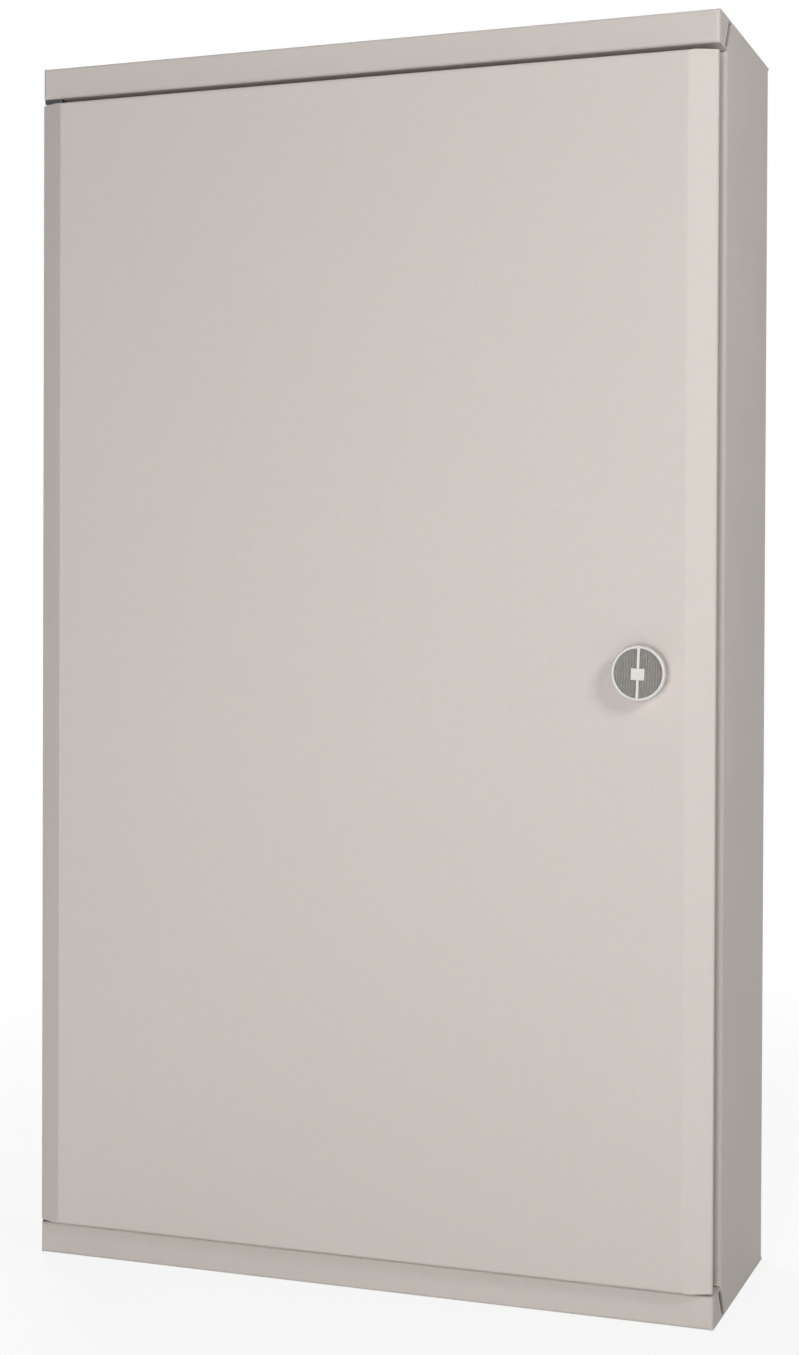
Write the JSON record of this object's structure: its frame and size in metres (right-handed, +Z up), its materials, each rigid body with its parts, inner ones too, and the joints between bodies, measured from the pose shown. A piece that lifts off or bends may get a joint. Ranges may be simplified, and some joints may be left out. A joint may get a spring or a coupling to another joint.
{
  "type": "steel wall enclosure",
  "caption": "Wall-hung folded steel enclosure with end caps, a bevelled hinged door, a quarter-turn lock and a mounting plate inside.",
  "frame": {"origin": "centre of the four wall-fixing holes, on the back face that lies on the wall", "axes": "+Z up, -Y out of the wall towards the door, +X to the right seen from the front"},
  "size_m": [0.45, 0.171, 0.78],
  "materials": {
    "paint": "satin powder coat, warm light grey",
    "galvanised": "galvanised sheet",
    "zinc": "bright zinc plated",
    "brass": "plain brass",
    "seal": "matt black foam rubber",
    "nylon": "black nylon",
    "knob": "pale cream moulded plastic",
    "insert": "dark grey ribbed plastic"
  },
  "bodies": {
    "cabinet": {"body_wrap": "paint", "top_cap": "paint", "bottom_cap": "paint", "top_gland_plate": "galvanised", "bottom_gland_plate": "galvanised", "top_gland_seal": "seal", "bottom_gland_seal": "seal", "gland_clinch_nuts": "zinc", "gland_screws": "zinc", "mounting_plate": "galvanised", "plate_studs": "zinc", "plate_washers": "zinc", "plate_nuts": "zinc", "body_earth_stud": "brass", "body_earth_washers": "brass", "body_earth_nuts": "brass", "upper_hinge_bush": "nylon", "lower_hinge_bush": "nylon", "latch_keeper": "zinc", "keeper_rivets": "zinc"},
    "door": {"door_shell": "paint", "door_stiffener": "paint", "door_seal": "seal", "upper_hinge_bracket": "zinc", "lower_hinge_bracket": "zinc", "upper_hinge_pin": "zinc", "lower_hinge_pin": "zinc", "hinge_pin_clip": "zinc", "door_earth_stud": "brass", "door_earth_washer": "brass", "door_earth_nut": "brass", "lock_housing": "zinc", "lock_gasket": "seal", "lock_nut": "zinc"},
    "knob": {"knob_shell": "knob", "knob_inserts": "insert", "lock_spindle": "zinc", "lock_cam": "zinc", "cam_washer": "zinc", "cam_screw": "zinc"}
  },
  "joints": [
    {"name": "door_hinge", "type": "hinge", "parent": "cabinet", "child": "door", "pos_m": [-0.2184, -0.1465, 0], "axis": [0, 0, -1], "range_deg": [0, 120]},
    {"name": "knob_turn", "type": "hinge", "parent": "door", "child": "knob", "pos_m": [0.1817, -0.1615, -0.0011], "axis": [0, -1, 0], "range_deg": [0, 92]}
  ]
}
